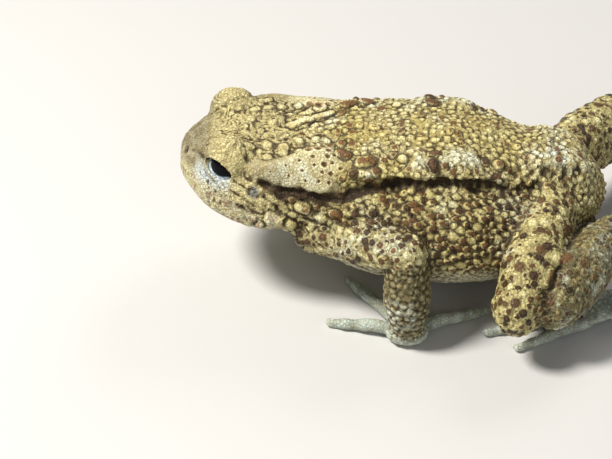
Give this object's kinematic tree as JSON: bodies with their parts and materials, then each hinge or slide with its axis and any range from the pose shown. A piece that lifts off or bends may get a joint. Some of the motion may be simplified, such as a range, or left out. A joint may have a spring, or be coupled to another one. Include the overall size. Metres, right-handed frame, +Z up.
{
  "type": "common toad",
  "caption": "Life-size still model of a common toad standing with its body raised, warty back, long glands behind the eyes, webbed hind feet and spread toes.",
  "frame": {"origin": "on the floor under the middle of the whole toad, feet and toes included", "axes": "the toad looks along -Y and its left side is +X; +Z is up"},
  "size_m": [0.1208, 0.162, 0.0448],
  "materials": {
    "skin_back": "matt, warty, straw yellow with brown wart tips",
    "skin_limb": "matt, granular, cream with dark brown spots",
    "skin_belly": "matt, finely granular, pale cream",
    "gland": "matt, pitted, pale yellow with brown pores",
    "digit": "satin, smooth, pale grey green",
    "ear": "satin, smooth, grey brown",
    "eye": "wet gloss, black with a pale rim"
  },
  "bodies": {
    "root": {"eye_left": "eye", "eye_right": "eye", "finger_first_left": "digit", "finger_first_right": "digit", "finger_fourth_left": "digit", "finger_fourth_right": "digit", "finger_second_left": "digit", "finger_second_right": "digit", "finger_third_left": "digit", "finger_third_right": "digit", "foot_left": "digit", "foot_right": "digit", "forearm_left": "skin_limb", "forearm_right": "skin_limb", "hand_left": "digit", "hand_right": "digit", "head": "skin_back", "lower_jaw": "skin_belly", "parotoid_left": "gland", "parotoid_right": "gland", "shank_left": "skin_limb", "shank_right": "skin_limb", "tarsus_left": "skin_limb", "tarsus_right": "skin_limb", "thigh_left": "skin_limb", "thigh_right": "skin_limb", "toe_fifth_left": "digit", "toe_fifth_right": "digit", "toe_first_left": "digit", "toe_first_right": "digit", "toe_fourth_left": "digit", "toe_fourth_right": "digit", "toe_second_left": "digit", "toe_second_right": "digit", "toe_third_left": "digit", "toe_third_right": "digit", "torso": "skin_back", "tympanum_left": "ear", "tympanum_right": "ear", "upper_arm_left": "skin_limb", "upper_arm_right": "skin_limb"}
  },
  "joints": []
}
